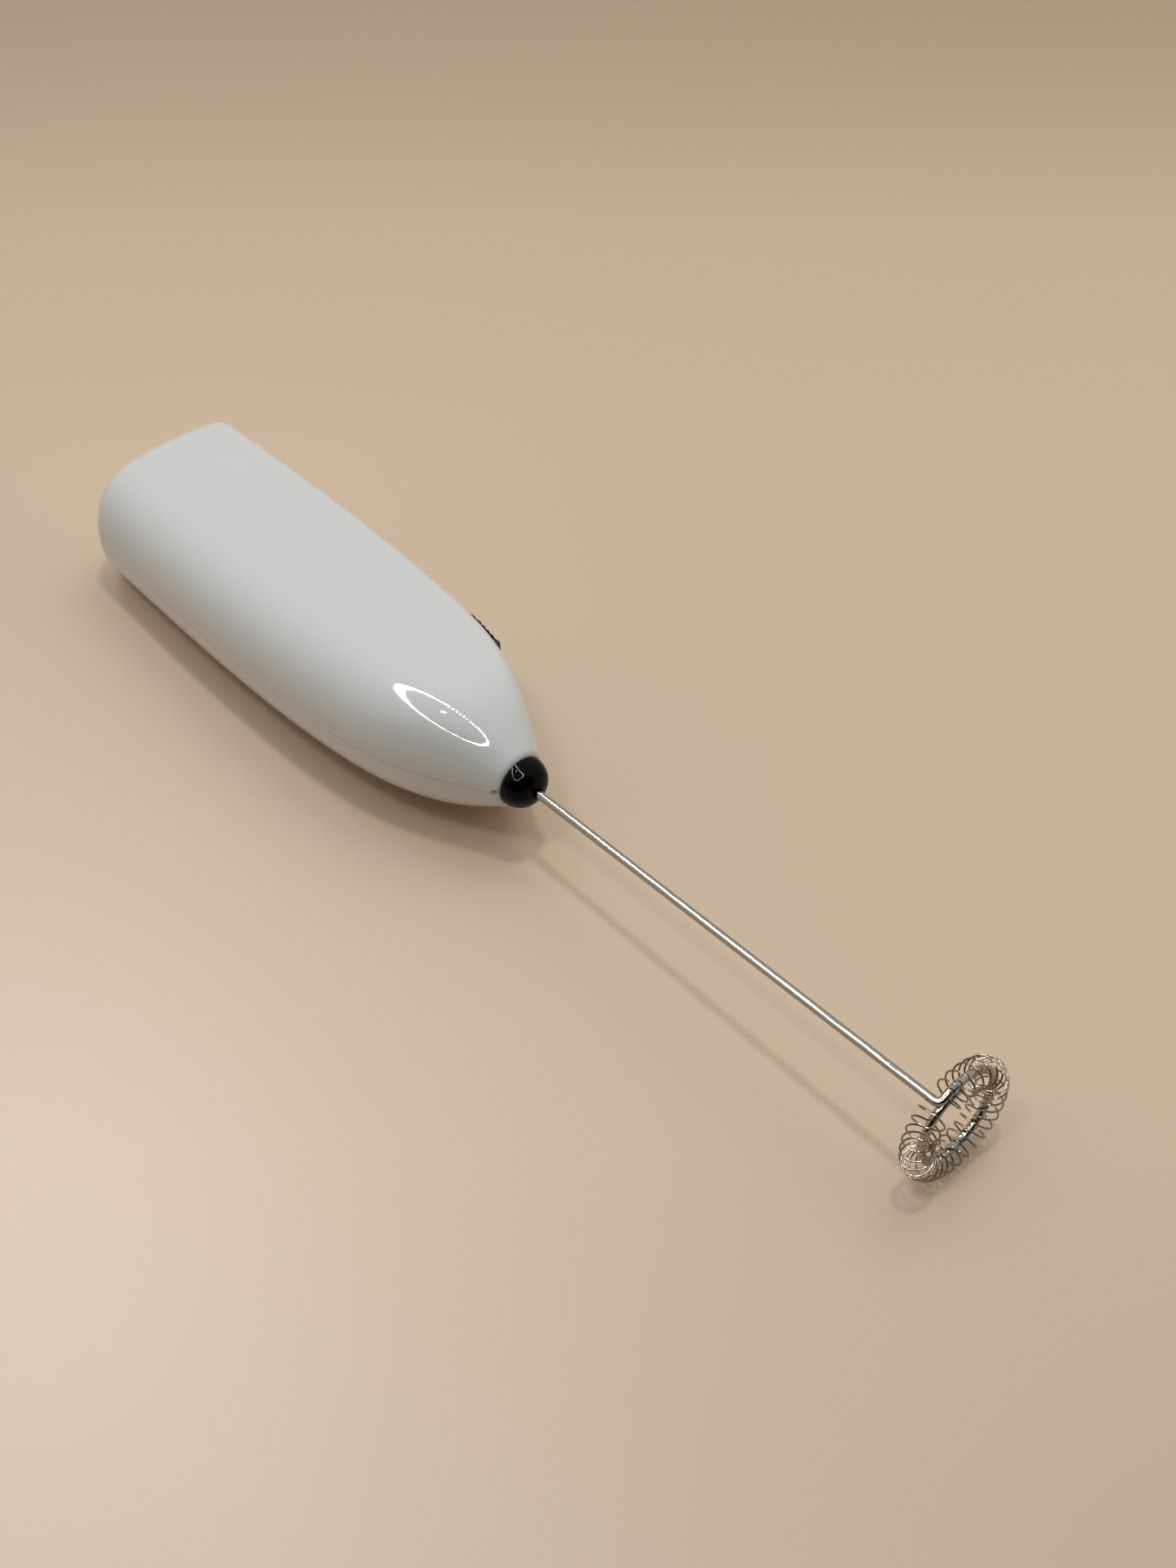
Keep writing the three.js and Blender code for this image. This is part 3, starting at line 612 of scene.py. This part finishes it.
def half_body(sign):
    """The solid upper (sign 1) or lower (sign -1) half, with its tail face crowned."""
    rings = []
    st = stations(0, L, TAIL_R, 150, 0.6, 16, 6)
    first = half_section(st[0][0], st[0][1], 12, 40, 14, GROOVE)
    yc = (flat_y(0) - round_y(0)) / 2
    for s in (0.12, 0.25, 0.38, 0.5, 0.62, 0.74, 0.85, 0.93):
        rings.append(with_x(0, [(yc + s * (y - yc), GROOVE[0] + s * (z - GROOVE[0])) for y, z in first]))
    for X, ti in st:
        rings.append(with_x(X, half_section(X, ti, 12, 40, 14, GROOVE)))
    n = len(rings[0])
    verts = [p for r in rings for p in r]
    faces = [(i * n + j, i * n + (j + 1) % n, (i + 1) * n + (j + 1) % n, (i + 1) * n + j)
             for i in range(len(rings) - 1) for j in range(n)]
    c0 = len(verts)
    verts.append(with_x(0, [(yc, GROOVE[0])])[0])
    faces += [(c0, (j + 1) % n, j) for j in range(n)]
    base = (len(rings) - 1) * n
    c1 = len(verts)
    verts.append((L, 0, GROOVE[0]))
    faces += [(c1, base + j, base + (j + 1) % n) for j in range(n)]
    verts = [(x, y, z * sign) for x, y, z in verts]
    return verts, outward(verts, faces)


def full_body(inset, x_tail, x_nose, tail_r, n):
    rings = []
    for X, ti in stations(x_tail, x_nose, tail_r, n, 0, 8, 0):
        top = half_section(X, inset + ti, 8, 24, 4, None)
        rings.append(with_x(X, top + [(y, -z) for y, z in top[-2:0:-1]]))
    return loft(rings)


def half_room(sign):
    """Everything on one side of the parting plane."""
    return box(-10, 130, -40, 40, 0.03, 40) if sign > 0 else box(-10, 130, -40, 40, -40, -0.03)


def inner_ribs():
    """Bulkhead of the cell bay, motor cradles, cover ledges."""
    r = new_object("ribs", *box(61.0, 62.4, -20, 20, -20, 20))
    cut(r, rod(55, 70, 3.6))
    cut(r, box(55, 70, 4.6, 9.6, 5.6, 9.4))
    cut(r, box(55, 70, -9.6, -4.6, -9.4, -5.6))
    for x in (71.0, 83.0):
        add(r, box(x, x + 1.4, -8.6, 8.6, -20, 20))
    keep_rib = new_object("rib", *box(74, 80, -9.2, -7.75, -20, 20))
    cut(keep_rib, box(73, 81, -10, 0, -7, 7))
    combine(r, keep_rib, "UNION")
    motor = new_object("motor", *rod(66, 92, CAN_R + 0.12, 64))
    keep(motor, box(50, 100, -CAN_FLAT - 0.12, CAN_FLAT + 0.12, -20, 20))
    combine(r, motor, "DIFFERENCE")
    for z in (1, -1):
        add(r, box(7, 60.5, 12.9, 14.45, 9.3, 11.6) if z > 0 else box(7, 60.5, 12.9, 14.45, -11.6, -9.3))
    keep(r, full_body(WALL - 0.5, 1.9, 103.6, TAIL_R - WALL, 40))
    return r


def sphere(r, x, y, z, n=20):
    return revolve([(r * math.sin(math.pi * k / n), -r * math.cos(math.pi * k / n)) for k in range(n + 1)], 28, x, y, z)


def shell(sign):
    ob = new_object("shell", *half_body(sign))
    skin = skin_of(ob)
    cut(ob, full_body(WALL, 1.9, 103.6, TAIL_R - WALL, 60))
    ribs = inner_ribs()
    keep(ribs, half_room(sign))
    combine(ob, ribs, "UNION")
    cut(ob, box(-6, WINDOW_END, 15.5, 30, -WINDOW_Z, WINDOW_Z))
    cut(ob, box(-6, 7.2, RAIL_Y0 - 0.2, 16.0, -RAIL_Z - 0.2, RAIL_Z + 0.2))
    cut(ob, box(-6, WINDOW_END, RAIL_Y0 - 0.2, 15.95, -RAIL_Z - 0.2, RAIL_Z + 0.2))
    cut(ob, to_switch(box(-SW_LEN / 2 - 0.4, SW_LEN / 2 + SW_TRAVEL + 0.4, -0.55, 6, -SW_HALF_Z - 0.3, SW_HALF_Z + 0.3)))
    cut(ob, to_switch(box(-2.9, 2.9 + SW_TRAVEL, -4.5, 3, -2.2, 2.2)))
    cut(ob, rod(100, L + 5, 3.55, 64))
    cut(ob, sphere(0.8, 110.5, -round_y(110.5) - 0.1, 0.3))
    name = "upper_shell_moulding" if sign > 0 else "lower_shell_moulding"
    return finish_mesh(ob, name, WHITE, "handle",
                       ["upper_shell"] if sign > 0 else ["lower_shell"], skin=skin), skin


_, SKIN_UP = shell(1)
_, SKIN_LOW = shell(-1)


# ------------------------------------------------------------------ battery cover
def battery_cover():
    st = stations(0, L, TAIL_R, 150, 0.5, 16, 5)
    rings = []
    yc = (flat_y(0) - round_y(0)) / 2
    first = half_section(st[0][0], st[0][1], 12, 20, 6, None)
    full = lambda top: top + [(y, -z) for y, z in top[-2:0:-1]]
    for s in (0.3, 0.6, 0.8, 0.93):
        rings.append(with_x(0, full([(yc + s * (y - yc), s * z) for y, z in first])))
    for X, ti in st:
        if X < 66:
            rings.append(with_x(X, full(half_section(X, ti, 12, 20, 6, None))))
    ob = new_object("cover", *loft(rings))
    skin = skin_of(ob)
    rails = []
    for z0, z1 in ((-RAIL_Z, -6.4), (6.4, RAIL_Z)):
        r = new_object("rail", *[x for x in (ob.data.vertices and mesh_of(ob))])
        keep(r, box(-6, COVER_END - 0.4, RAIL_Y0, 15.8, z0, z1))
        rails.append(r)
    keep(ob, box(-6, COVER_END, COVER_IN_Y, 30, -COVER_Z, COVER_Z))
    for r in rails:
        combine(ob, r, "UNION")
    # catch: a wedge that rises towards the nose end, with four finger grooves
    ya, yb = flat_y(CATCH_X0), flat_y(CATCH_X1)
    top = [(CATCH_X0 - 0.3, ya - 0.6), (CATCH_X1, yb - 0.6), (CATCH_X1, yb + CATCH_H1 - 0.25), (CATCH_X1 - 0.25, yb + CATCH_H1),
           (CATCH_X0 + 0.3, ya + CATCH_H0), (CATCH_X0 - 0.3, ya + CATCH_H0 * 0.5)]
    prof = rounded(top, 0.16, 3)
    wedge = new_object("wedge", *bevelled_prism(prof, COVER_Z - 0.25, 0.3, 4))
    for i in range(4):
        x = CATCH_X1 - 2.0 - 1.75 * i
        y = flat_y(x) + CATCH_H0 + (CATCH_H1 - CATCH_H0) * (x - CATCH_X0) / (CATCH_X1 - CATCH_X0)
        cut(wedge, box(x - 0.35, x + 0.35, y - 0.35, y + 2, -6.2, 6.2))
    combine(ob, wedge, "UNION")
    return finish_mesh(ob, "battery_cover_moulding", COVER_WHITE, "battery_cover", ["battery_cover"], skin=skin)


def mesh_of(ob):
    return [tuple(v.co) for v in ob.data.vertices], [tuple(p.vertices) for p in ob.data.polygons]


battery_cover()


# ------------------------------------------------------------------ nose cap
def nose_cap():
    x0 = L + 0.12
    h = CAP_TIP - x0
    pts = [(1.02, 104.75), (3.2, 104.75), (3.35, 104.9), (3.35, x0), (CAP_R - 0.12, x0), (CAP_R, x0 + 0.12)]
    for i in range(1, 30):
        a = math.pi / 2 * (0.03 + 0.97 * i / 30)
        r, x = CAP_R * math.cos(a) ** 0.75, x0 + h * math.sin(a)
        if r > 1.55:
            pts.append((r, x))
    pts += [(1.45, CAP_TIP - 0.02), (1.2, CAP_TIP - 0.0), (1.06, CAP_TIP - 0.1), (1.02, CAP_TIP - 0.3), (1.02, 110.25), (2.42, 110.25), (2.42, 104.75)]
    pts = pts[0:0] + [(2.42, 104.75)] + pts[1:-1]
    verts, faces, rings, seg = [], [], [], 96
    for r, x in pts:
        rings.append(len(verts))
        verts += [(x, r * math.cos(2 * math.pi * k / seg), r * math.sin(2 * math.pi * k / seg)) for k in range(seg)]
    for i in range(len(pts)):
        a, b = rings[i], rings[(i + 1) % len(pts)]
        faces += [(a + k, a + (k + 1) % seg, b + (k + 1) % seg, b + k) for k in range(seg)]
    ob = new_object("cap", verts, outward(verts, faces))
    return finish_mesh(ob, "nose_cap_moulding", CAP_BLACK, "handle", ["nose_cap"], angle=40)


nose_cap()


# ------------------------------------------------------------------ slide switch
def switch():
    h = SW_LEN / 2
    prof = [(-h, 0.2), (-h, 2.2), (-h + 0.4, 2.6), (-h + 1.45, 2.7), (-h + 1.7, 2.15), (-h + 2.0, 2.15), (-h + 2.2, 2.7)]
    for i in range(4):
        u, v = -h + 2.5 + i * 1.45, 2.72 - 0.05 * i
        prof += [(u, v), (u + 0.75, v + 0.06), (u + 1.0, v - 0.38), (u + 1.2, v - 0.38)]
    prof += [(h - 1.5, 2.5), (h - 0.95, 2.68), (h - 0.45, 2.6), (h - 0.08, 1.9), (h, 0.2)]
    ob = new_object("switch", *to_switch(bevelled_prism(rounded(prof, 0.14, 3), SW_HALF_Z - 0.1, 0.35, 4)))
    base = rounded([(-h, -0.3), (h, -0.3), (h, 1.3), (-h, 1.3)], 0.2, 3)
    add(ob, to_switch(bevelled_prism(base, SW_HALF_Z, 0.2, 3)))
    add(ob, to_switch(box(-2.6, 2.6, -3.0, 0, -1.95, 1.95)))
    add(ob, to_switch(box(-4.6, 4.6, -3.6, -2.5, -4.2, 4.2)))
    return finish_mesh(ob, "switch_thumb_piece", SWITCH_BLACK, "switch", ["switch_button"], angle=38)


switch()


# ------------------------------------------------------------------ whisk
A0 = math.atan2(-RING_CZ, -RING_CY)
START = math.hypot(RING_CY, RING_CZ)


def whisk_wire():
    b, pts = ELBOW_R, [(99.3, 0, 0)]
    pts += [(x, 0, 0) for x in np.linspace(101, RING_X - b - 0.3, 60)]
    ty, tz = math.sin(A0), -math.cos(A0)
    for i in range(0, 13):
        a = math.pi / 2 * i / 12
        s = b * (1 - math.cos(a))
        pts.append((RING_X - b + b * math.sin(a), ty * s, tz * s))
    turn, n, first = 2 * math.pi + 0.45, 200, A0 - b / START
    for i in range(1, n + 1):
        w = turn * i / n
        k = min(1, max(0, (w - 0.7) / (2 * math.pi - 1.1)))
        r = START + 0.05 + 0.03 * min(1, w * 4) - 1.78 * k * k * (3 - 2 * k)
        pts.append((RING_X, RING_CY + r * math.cos(first - w), RING_CZ + r * math.sin(first - w)))
    P = np.array(pts)
    for _ in range(2):                          # takes the last unevenness out of the elbow
        Q = P.copy()
        Q[62:-1] = P[61:-2] * 0.25 + P[62:-1] * 0.5 + P[63:] * 0.25
        P = Q
    ob = new_object("wire", *wire(P, WIRE_R, 24, (0, 1)))
    return finish_mesh(ob, "whisk_wire_bent", WIRE, "whisk", ["whisk_wire"], angle=60)


def whisk_spring():
    gap, steps = 0.15, 40
    n, pts = COIL_TURNS * steps, []
    for i in range(n + 1):
        t = i / n
        a = A0 - gap - (2 * math.pi - 2 * gap) * t
        h = 2 * math.pi * COIL_TURNS * t + 0.6
        r = RING_R + COIL_R * math.cos(h)
        pts.append((RING_X + COIL_R * math.sin(h), RING_CY + r * math.cos(a), RING_CZ + r * math.sin(a)))
    ob = new_object("spring", *wire(pts, COIL_WIRE_R, 8, (1, 1)))
    return finish_mesh(ob, "whisk_coil_spring", SPRING, "whisk", ["whisk_spring"], angle=60)


whisk_wire()
whisk_spring()


# ------------------------------------------------------------------ cells, contacts
def cell(name, node, y, x0, direction, mat):
    n = CELL_LEN
    pts = [(0, 0), (5.4, 0.0), (5.6, 0.02), (5.75, 0.14), (6.2, 0.16), (6.75, 0.2), (7.0, 0.4), (CELL_R, 0.75),
           (CELL_R, n - 2.0), (6.98, n - 1.6), (6.7, n - 1.42), (6.3, n - 1.38), (6.1, n - 1.2), (3.1, n - 1.15),
           (2.8, n - 1.05), (2.72, n - 0.3), (2.6, n - 0.06), (2.3, n), (0, n)]
    if direction < 0:
        pts = [(r, n - x) for r, x in pts]
    ob = new_object(name, *revolve(pts, 64, x0, y, 0))
    return finish_mesh(ob, name, mat, "handle", [node], angle=25)


A_X0, B_X0 = FRONT_PLATE_X - 0.3 - CELL_LEN, TAIL_PLATE_X + PLATE_T + 0.3


def x_of(x):
    return float(place([(x, 0, 0)])[0][0])


cell("cell_by_cover", "battery_cell_cover_side", CELL_A_Y, A_X0, 1, jacket("CellJacketA", (x_of(A_X0), x_of(A_X0 + CELL_LEN - 1.2), False)))
cell("cell_by_round_side", "battery_cell_round_side", CELL_B_Y, B_X0, -1, jacket("CellJacketB", (x_of(B_X0 + 1.2), x_of(B_X0 + CELL_LEN), True)))


def contact_spring(name, node, x0, x1, y):
    pts, n = [], 150
    for i in range(n + 1):
        t = i / n
        a, r = 2 * math.pi * 4.5 * t, 4.2 - 2.0 * t
        e = min(1, max(0, (t - 0.1) / 0.8))
        pts.append((x0 + (x1 - x0) * e, y + r * math.cos(a), r * math.sin(a)))
    ob = new_object(name, *wire(pts, 0.29, 12, (0, 0)))
    return finish_mesh(ob, name, NICKEL, "handle", [node], angle=60)


contact_spring("cell_spring_tail", "tail_contact_spring", TAIL_PLATE_X + PLATE_T + 0.5, A_X0 - 0.5, CELL_A_Y)
contact_spring("cell_spring_front", "front_contact_spring", FRONT_PLATE_X - 0.5, B_X0 + CELL_LEN + 0.5, CELL_B_Y)

# ------------------------------------------------------------------ carried-over CAD nodes
KEPT = {
    "front_bush": BRASS, "tail_contact_plate": NICKEL, "front_contact_plate_positive": NICKEL,
    "front_contact_plate_negative": NICKEL, "motor_can": CAN, "motor_end_cap": NYLON,
    "motor_magnet_upper": MAGNET, "motor_magnet_lower": MAGNET, "motor_terminal_positive": COPPER,
    "motor_terminal_negative": COPPER, "motor_shaft": SHAFT, "motor_armature": WINDING,
    "motor_commutator": COPPER, "coupling_sleeve": SLEEVE, "switch_moving_contact": COPPER,
    "switch_fixed_contact_rear": COPPER, "switch_fixed_contact_front": COPPER,
    "lead_cell_to_motor": LEAD_RED, "lead_cell_to_switch": LEAD_BLACK, "lead_switch_to_motor": LEAD_BLACK,
}
for node, mat in KEPT.items():
    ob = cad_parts[node]
    if ob.material_slots:
        for s in ob.material_slots:
            s.material = mat
    else:
        ob.data.materials.append(mat)

# ------------------------------------------------------------------ floor and light
def floor():
    n = 48
    verts = [(x, y, 0.0) for x in np.linspace(-4, 4, n) for y in np.linspace(-4, 4, n)]
    faces = [(i * n + j, (i + 1) * n + j, (i + 1) * n + j + 1, i * n + j + 1) for i in range(n - 1) for j in range(n - 1)]
    ob = new_object("floor", verts, faces)
    m, t, b = material("FloorPale", (0.62, 0.475, 0.335), 0.42, 0, specular=0.35)
    c = coords(t)
    grain = ramp(t, noise(t, c, 3.0, 3), [(0.3, (0.61, 0.465, 0.33)), (0.7, (0.63, 0.48, 0.345))])
    # painted shade: the floor colour is multiplied by a ramp along the view's horizontal direction, darker towards the
    # near end (0.8) and the far end (0.66), standing in for light falling off across the floor; the grain ramp above is
    # random tone
    away = t.nodes.new("ShaderNodeVectorMath")
    away.operation = "DOT_PRODUCT"
    away.inputs[1].default_value = (-0.729, 0.684, 0.0)
    t.links.new(c, away.inputs[0])
    span = t.nodes.new("ShaderNodeMapRange")
    span.inputs["From Min"].default_value, span.inputs["From Max"].default_value = -0.2, 0.3
    t.links.new(away.outputs["Value"], span.inputs["Value"])
    painted_falloff_shade = ramp(t, span.outputs["Result"], [(0.0, (0.8,) * 3), (0.136, (0.88, 0.89, 0.88)), (0.26, (0.985,) * 3),
                                            (0.62, (1, 1, 1)), (0.76, (0.95, 0.945, 0.93)), (0.906, (0.74, 0.72, 0.68)), (1.0, (0.66, 0.63, 0.58))])
    both = t.nodes.new("ShaderNodeMix")
    both.data_type, both.blend_type = "RGBA", "MULTIPLY"
    both.inputs["Factor"].default_value = 1.0
    t.links.new(grain, both.inputs[6])
    t.links.new(painted_falloff_shade, both.inputs[7])
    t.links.new(both.outputs[2], b.inputs["Base Color"])
    bump(t, b, noise(t, c, 900, 3), 0.06, 0.0002)
    ob.data.materials.append(m)
    return ob


floor()


def area(name, where, target, size, energy, color, size_y=None):
    li = bpy.data.lights.new(name, "AREA")
    li.shape = "RECTANGLE" if size_y else "DISK"
    li.size = size
    if size_y:
        li.size_y = size_y
    li.energy = energy
    li.color = color
    ob = bpy.data.objects.new(name, li)
    bpy.context.scene.collection.objects.link(ob)
    ob.location = where
    d = Vector(target) - Vector(where)
    ob.rotation_mode = "QUATERNION"
    ob.rotation_quaternion = d.to_track_quat("-Z", "Y")
    return ob


area("SoftLight", (-0.10, 0.62, 1.05), (-0.02, 0, 0), 0.62, 2.2, (1.0, 0.985, 0.96)).visible_glossy = False
area("TopLight", (0.03, 0.09, 1.25), (0, 0, 0), 0.10, 2.6, (1.0, 0.99, 0.97)).visible_glossy = False
area("FrontSoftLight", (0.0, -0.42, 1.10), (0, 0, 0), 0.16, 1.5, (0.97, 0.985, 1.0)).visible_glossy = False


def ring_lamp():
    """Ring of small bright lamps overhead, which shows only as a reflection in the gloss."""
    tree, tris, tri_n = SKIN_UP
    height = 0.6
    o = np.asarray(CAM) * 1000 - OFFSET

    def local(q):
        return Vector((q[0] * CT + q[2] * ST, q[1], -q[0] * ST + q[2] * CT))

    def above(px, py):
        r = FWD + RIGHT * (px - 722.5) / F_PX + DOWN * (py - 963.5) / F_PX
        r = r / np.linalg.norm(r)
        hit = tree.ray_cast(local(o), local(r))
        k = barycentric(hit[0], *tris[hit[2]])
        q = sum(w * m for w, m in zip(k, tri_n[hit[2]]))
        q = np.array(rotate(q / np.linalg.norm(q)))
        m = r - 2 * np.dot(r, q) * q
        at = place([tuple(hit[0])])[0]
        return at + m * (height - at[2]) / m[2]

    u, w = np.array([1.0, 0, 0]), np.array([0, -1.0, 0])
    verts, faces = [], []

    def dot(c, r):
        k = len(verts)
        for i in range(8):
            a = 2 * math.pi * i / 8
            verts.append(tuple(c + r * (math.cos(a) * u + math.sin(a) * w)))
        faces.append(tuple(range(k, k + 8)))

    tip = math.radians(32.1)
    for i in range(72):
        a = 2 * math.pi * i / 72
        ex, ey = 63.3 * math.cos(a), 13.5 * math.sin(a)
        dot(above(545 + ex * math.cos(tip) - ey * math.sin(tip), 880 + ex * math.sin(tip) + ey * math.cos(tip)), 0.011)
    dot(above(545, 875), 0.02)
    ob = new_object("ring_lamp", verts, faces)
    m = bpy.data.materials.new("LampGlow")
    m.use_nodes = True
    t = m.node_tree
    t.nodes.clear()
    e, o = t.nodes.new("ShaderNodeEmission"), t.nodes.new("ShaderNodeOutputMaterial")
    e.inputs["Strength"].default_value = 150
    t.links.new(e.outputs[0], o.inputs[0])
    ob.data.materials.append(m)
    ob.visible_diffuse = ob.visible_shadow = ob.visible_camera = False


ring_lamp()

# surroundings by direction: warm sweep behind, pale tent walls and ceiling, dark open front
world = bpy.data.worlds.new("World")
bpy.context.scene.world = world
world.use_nodes = True
wt = world.node_tree
bg = wt.nodes["Background"]
bg.inputs["Strength"].default_value = 0.95
sep = wt.nodes.new("ShaderNodeSeparateXYZ")
wt.links.new(wt.nodes.new("ShaderNodeTexCoord").outputs["Generated"], sep.inputs[0])
dotp = wt.nodes.new("ShaderNodeVectorMath")
dotp.operation = "DOT_PRODUCT"
dotp.inputs[1].default_value = (0.787, -0.617, 0.0)
wt.links.new(wt.nodes["Texture Coordinate"].outputs["Generated"], dotp.inputs[0])


def world_ramp(value, lo, hi, stops):
    r = wt.nodes.new("ShaderNodeMapRange")
    r.inputs["From Min"].default_value, r.inputs["From Max"].default_value = lo, hi
    wt.links.new(value, r.inputs["Value"])
    return ramp(wt, r.outputs["Result"], stops)


upward = world_ramp(sep.outputs["Z"], 0.0, 1.0, [
    (0.0, (0.62, 0.48, 0.35)), (0.50, (0.80, 0.70, 0.58)), (0.60, (0.80, 0.74, 0.65)), (0.67, (0.74, 0.79, 0.82)), (1.0, (0.66, 0.73, 0.77))])
front = world_ramp(dotp.outputs["Value"], 0.25, 0.85, [(0.0, (1, 1, 1)), (0.45, (0.12, 0.12, 0.12)), (1.0, (0.02, 0.02, 0.02))])
mix = wt.nodes.new("ShaderNodeMix")
mix.data_type, mix.blend_type = "RGBA", "MULTIPLY"
mix.inputs["Factor"].default_value = 1.0
wt.links.new(upward, mix.inputs[6])
wt.links.new(front, mix.inputs[7])
wt.links.new(mix.outputs[2], bg.inputs["Color"])
bpy.context.scene.view_settings.view_transform = "Standard"
